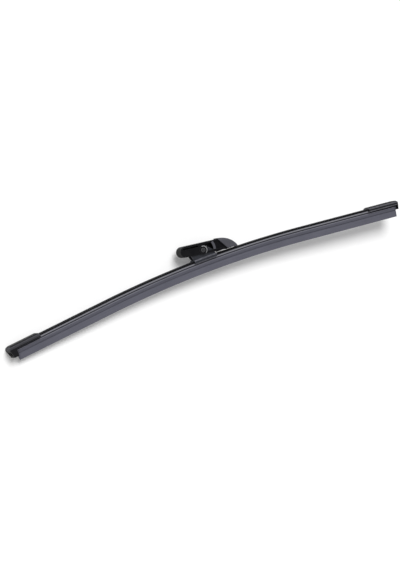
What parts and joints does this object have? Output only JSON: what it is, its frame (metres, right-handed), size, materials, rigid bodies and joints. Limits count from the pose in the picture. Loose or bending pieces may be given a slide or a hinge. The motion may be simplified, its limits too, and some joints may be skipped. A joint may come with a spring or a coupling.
{
  "type": "wiper blade",
  "caption": "Arched flat wiper blade for a rear window, with spring rails, a rubber strip, end caps and an arm adapter that tilts on a cross pin.",
  "frame": {"origin": "middle of the pivot pin's axis, which is the middle of the arm adapter", "axes": "+X along the blade towards the hood, +Y across the blade along the pin, +Z away from the glass"},
  "size_m": [0.3787, 0.0114, 0.0409],
  "materials": {
    "rubber": "matt, slightly violet dark grey",
    "rail_paint": "satin black paint on spring steel",
    "cap_plastic": "matt moulded black",
    "bracket_plastic": "satin moulded black",
    "pin_steel": "turned steel",
    "adapter_plastic": "fine-grained moulded black",
    "hood_plastic": "matt moulded dark grey"
  },
  "bodies": {
    "adapter": {"arm_adapter": "adapter_plastic", "adapter_hood": "hood_plastic"},
    "blade": {"wiping_rubber": "rubber", "spring_rail_front": "rail_paint", "spring_rail_rear": "rail_paint", "end_cap_left": "cap_plastic", "end_cap_right": "cap_plastic", "rail_bracket": "bracket_plastic", "pivot_pin": "pin_steel"}
  },
  "joints": [
    {"name": "blade_tilt", "type": "hinge", "parent": "adapter", "child": "blade", "pos_m": [0, 0, 0], "axis": [0, 1, 0], "range_deg": [0, 16]}
  ]
}
